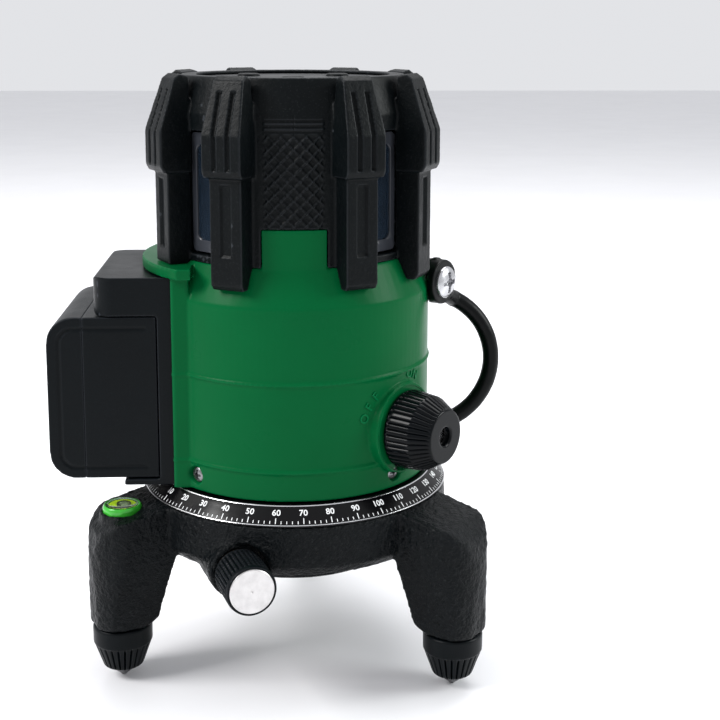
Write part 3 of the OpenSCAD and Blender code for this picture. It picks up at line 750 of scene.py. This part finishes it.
def crown():
    centres = [w + s * BUMPER_STEP for w in WINDOW_AZ for s in (-1, 1)]

    def rubber(co, normals):
        az = np.degrees(np.arctan2(co[:, 0], -co[:, 1]))
        r = np.hypot(co[:, 0], co[:, 1])
        h = co[:, 2]
        unit = co[:, :2] / np.maximum(r, 1e-6)[:, None]
        outward = (normals[:, :2] * unit).sum(1)
        push = np.zeros(len(co))
        on_bumper = np.zeros(len(co), bool)
        for c in centres:
            off = np.radians((az - c + 180) % 360 - 180)
            t, d = r * np.sin(off), r * np.cos(off)
            near = (np.abs(off) < 0.5) & (np.abs(t) < 7.6)
            on_bumper |= near & (d > 43.0)
            face = near & (outward > 0.35) & (d > 43.4)
            block = face & (h > 175.5)
            cut = np.zeros(len(co))
            for centre in (-2.5, 2.5):
                cut = np.maximum(cut, band(t, centre - 0.72, centre + 0.72, 0.16))
            cut = cut * band(h, 178.3, 203.0, 0.18)
            push -= np.where(block, cut * 1.05, 0)
            leg = face & (h < 176.5)
            slot = band(t, -1.9, 1.9, 0.2) * band(h, 150.5, 173.3, 0.25)
            push -= np.where(leg, slot * 0.8, 0)
        # knurled panels, ribs and the plain slope above them
        plain = (outward > 0.3) & ~on_bumper & (r > 37.5)
        off = np.radians((az + 45) % 90 - 45)
        t = 42.0 * off
        inside = band(t, -9.6, 9.6, 0.3)
        pitch, low, high = 4.1, 159.5, 188.9
        ridge = np.zeros(len(co))
        for s in (-1, 1):
            u = (t * s + h) / pitch
            gap = np.abs(u - np.floor(u) - 0.5) * 2
            ridge = np.maximum(ridge, step(gap, 0.7, 0.93))
        knurl = ridge * inside * band(h, low, high, 0.2)
        push += np.where(plain, knurl * 0.8 - inside * band(h, low, high, 0.3) * 0.3, 0)
        u = (h - 189.3) / 1.75
        lines = step(np.abs(u - np.floor(u) - 0.5) * 2, 0.45, 0.75)
        push += np.where(plain, lines * inside * band(h, 189.3, 194.6, 0.1) * 0.6, 0)
        seam = band(t, -0.14, 0.14, 0.1) * band(h, 189.2, 207, 0.1)
        push -= np.where(plain, seam * 0.15, 0)
        push += grain(co, 0.9, 21) * 0.03 + grain(co, 7, 22) * 0.04
        return co + normals * push[:, None]

    skin("crown_rubber", "crown_cover", 0.42, 3, "head", "rubber", rubber)

    # window frames with rounded openings, between two distances from the spindle
    def loop(half_x, half_y, r, grow_x=1.0, grow_y=1.0, n=12):
        points = []
        for q, (sx, sy) in enumerate(((1, 1), (-1, 1), (-1, -1), (1, -1))):
            for k in range(n + 1):
                a = math.radians(90 * q + 90 * k / n)
                points.append(((sx * half_x + r * math.cos(a)) * grow_x,
                               (sy * half_y + r * math.sin(a)) * grow_y))
        return points

    outer, inner = (6.9, 18.5, 1.5), (3.6, 13.4, 2.6)
    back, front, proud = 36.4, 39.1, 39.35
    rims = ((loop(*inner), back), (loop(*inner), front), (loop(*inner, 1.04, 1.02), proud),
            (loop(*outer, 0.985, 0.99), proud), (loop(*outer), front), (loop(*outer), back))
    parts = []
    for az in WINDOW_AZ:
        line = radial(az, 169.0)
        verts = [line @ Vector((x, y, z)) for rim, z in rims for x, y in rim]
        count, faces = len(rims[0][0]), []
        for i in range(len(rims)):
            j = (i + 1) % len(rims)
            for k in range(count):
                m = (k + 1) % count
                faces.append((i * count + k, i * count + m, j * count + m, j * count + k))
        parts.append((verts, faces))
    frames = joined("window_frame_set", parts)
    finish_piece(frames, "head", "grey_plastic", ("window_frames",))

    def plate(co, normals):
        return co + normals * (grain(co, 1.0, 31) * 0.02)[:, None]

    skin("top_plate", "top_panel", 0.5, 4, "head", "black_plastic", plate)
    points = [(0, 198.42), (1.45, 198.42), (1.45, 200.6), (4.9, 200.65), (4.9, 202.75),
              (3.95, 202.8), (3.95, 206.4), (3.4, 206.95), (1.8, 206.82), (0, 206.7)]
    for i, name in enumerate(KEY_NAMES):
        az = 120.0 * i
        place = at(out(az) * KEY_R, UP, out(az))
        turned("key_" + name + "_cap", place, points, "key_%d" % (i + 1), "rubber",
               ("key_" + name,), radius=0.4, around=64)
    parts = []
    dome = [Vector((0, 203.05)), Vector((1.36, 203.05))] + quarter(1.36, 205.7, 0.45, 6)
    for x in (-LAMP_GAP, 0, LAMP_GAP):
        middle = across(LAMP_AZ) * x + out(LAMP_AZ) * KEY_R
        parts.append(lathe(at(middle, UP, out(LAMP_AZ)), dome, 32))
    lamps = joined("status_lamp_domes", parts)
    finish_piece(lamps, "head", "lamp", ("status_lamps",))


def lock():
    points = [(4.02, 49.35), (13.0, 49.35), (13.35, 49.9), (13.35, 51.5), (12.65, 58.8),
              (9.0, 65.35), (3.6, 65.35), (3.05, 64.9), (3.05, 62.55), (4.02, 62.5)]

    def ribs(a, r, z):
        low, high = 50.2, 65.2
        if r < 9.0 or z < low:
            return r
        fade = min(1.0, (z - low) / 0.6) * min(1.0, max(0.0, (high - z) / 1.5))
        return r - 0.5 * fade * groove(a, 40, 0.45)

    turned("lock_knob_grip", LOCK_LINE, points, "lock", "gloss_black",
           ("lock_knob",), radius=0.5, around=400, reach=ribs, closed=True, length=0.5)


def tether():
    def soft(co, normals):
        return co + normals * (grain(co, 2.5, 41) * 0.04 + grain(co, 0.8, 42) * 0.015)[:, None]

    strap = skin("tether_strap_rubber", "tether_strap", 0.36, 7, None, "strap_rubber",
                 soft)
    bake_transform(strap)
    turned("plug_body", radial(JACK_AZ, JACK_H),
           [(0, 37.05), (2.3, 37.05), (2.65, 37.6), (2.65, 48.05), (5.6, 48.1), (5.95, 48.6),
            (5.95, 53.1), (5.4, 53.65), (0, 53.65)],
           "plug", "strap_rubber", ("port_plug",), radius=0.5, around=72)
    screw = joined("tether_pan_screw", [pan_screw(TETHER_LINE, 5.6, 2.45, 2.0, 15.9, 3.6)])
    finish_piece(screw, "head", "steel", ("tether_screw",))


def battery():
    def pack(co, normals):
        x, y, h = co[:, 0], co[:, 1], co[:, 2]
        # inset from the pack's rounded outline, seen from the side; its inner end is open
        near, far, low, high, rad = 46.3, 83.0, 71.8, 127.6, 9.0
        cx, cz = -(near + far) / 2, (low + high) / 2
        qx = np.abs(x - cx) - ((far - near) / 2 - rad)
        qz = np.abs(h - cz) - ((high - low) / 2 - rad)
        qx = np.where(x > cx, -5.0, qx)
        corner = np.hypot(np.maximum(qx, 0), np.maximum(qz, 0))
        inset = rad - (corner + np.minimum(np.maximum(qx, qz), 0))
        flank = (np.abs(y) > 26.5) & (np.abs(normals[:, 1]) > 0.6)
        cut = band(inset, 3.5, 4.3, 0.18) * band(x, -90, -50, 0.5)
        push = np.where(flank, -0.5 * cut, 0.0)
        push += grain(co, 0.8, 51) * 0.012
        return co + normals * push[:, None]

    skin("battery_case_shell", "battery_case", 0.5, 6, "battery", "black_plastic",
         pack)
    skin("battery_cover_shell", "battery_cover", 0.5, 6, "battery", "black_plastic",
         pack)

    def mount(co, normals):
        # the upright corners of the top block are rounded
        x, y, h = co[:, 0].copy(), co[:, 1].copy(), co[:, 2]
        rad, cx, cy = 7.0, -60.5, 21.5
        dx, dy = np.minimum(x - cx, 0), np.sign(y) * np.maximum(np.abs(y) - cy, 0)
        d = np.hypot(dx, dy)
        near = (h > 127) & (dx < 0) & (dy != 0) & (d > rad)
        scale = np.where(near, rad / np.maximum(d, 1e-6), 1.0)
        x = np.where(near, cx + dx * scale, x)
        y = np.where(near, np.sign(y) * cy + dy * scale, y)
        moved = np.stack([x, y, h], 1)
        return moved + normals * (grain(co, 0.8, 52) * 0.012)[:, None]

    skin("battery_mount_body", "battery_mount", 0.5, 5, "head", "black_plastic",
         mount)
    skin("battery_release_key", "battery_release", 0.4, 4, "battery_catch", "black_plastic")


def inside():
    """Finishes for the CAD pieces that stay as they are."""
    table = {
        "thread_insert": "brass", "spindle": "steel", "spindle_screws": "steel",
        "spindle_nut": "steel", "wave_washer": "spring_steel", "worm_bushes": "bronze",
        "worm_shaft": "steel", "worm_wheel": "brass", "friction_washer": "fibre",
        "housing_floor": "black_plastic", "swivel_hub": "steel", "crown_core": "black_plastic",
        "window_glass": "glass", "circuit_board": "circuit", "lock_shaft": "steel",
        "lock_ring": "aluminium", "lock_springs": "spring_steel", "chassis_pillars": "aluminium",
        "gimbal_carrier": "aluminium", "damper_plate": "copper", "gimbal_ring": "aluminium",
        "gimbal_outer_pins": "steel", "pendulum_frame": "aluminium", "pendulum_weight": "brass",
        "gimbal_inner_pins": "steel", "laser_modules": "brass", "damper_magnets": "magnet",
        "charging_jack": "black_plastic", "mount_contacts": "contact_gold", "battery_cells": "cell",
    }
    for node, mat in table.items():
        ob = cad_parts[node]
        if not ob.material_slots:
            ob.data.materials.append(M[mat])
        for s in ob.material_slots:
            s.link = "OBJECT"
            s.material = M[mat]


camera()
stage()
base()
feet()
fine_knob()
housing()
crown()
lock()
tether()
battery()
inside()
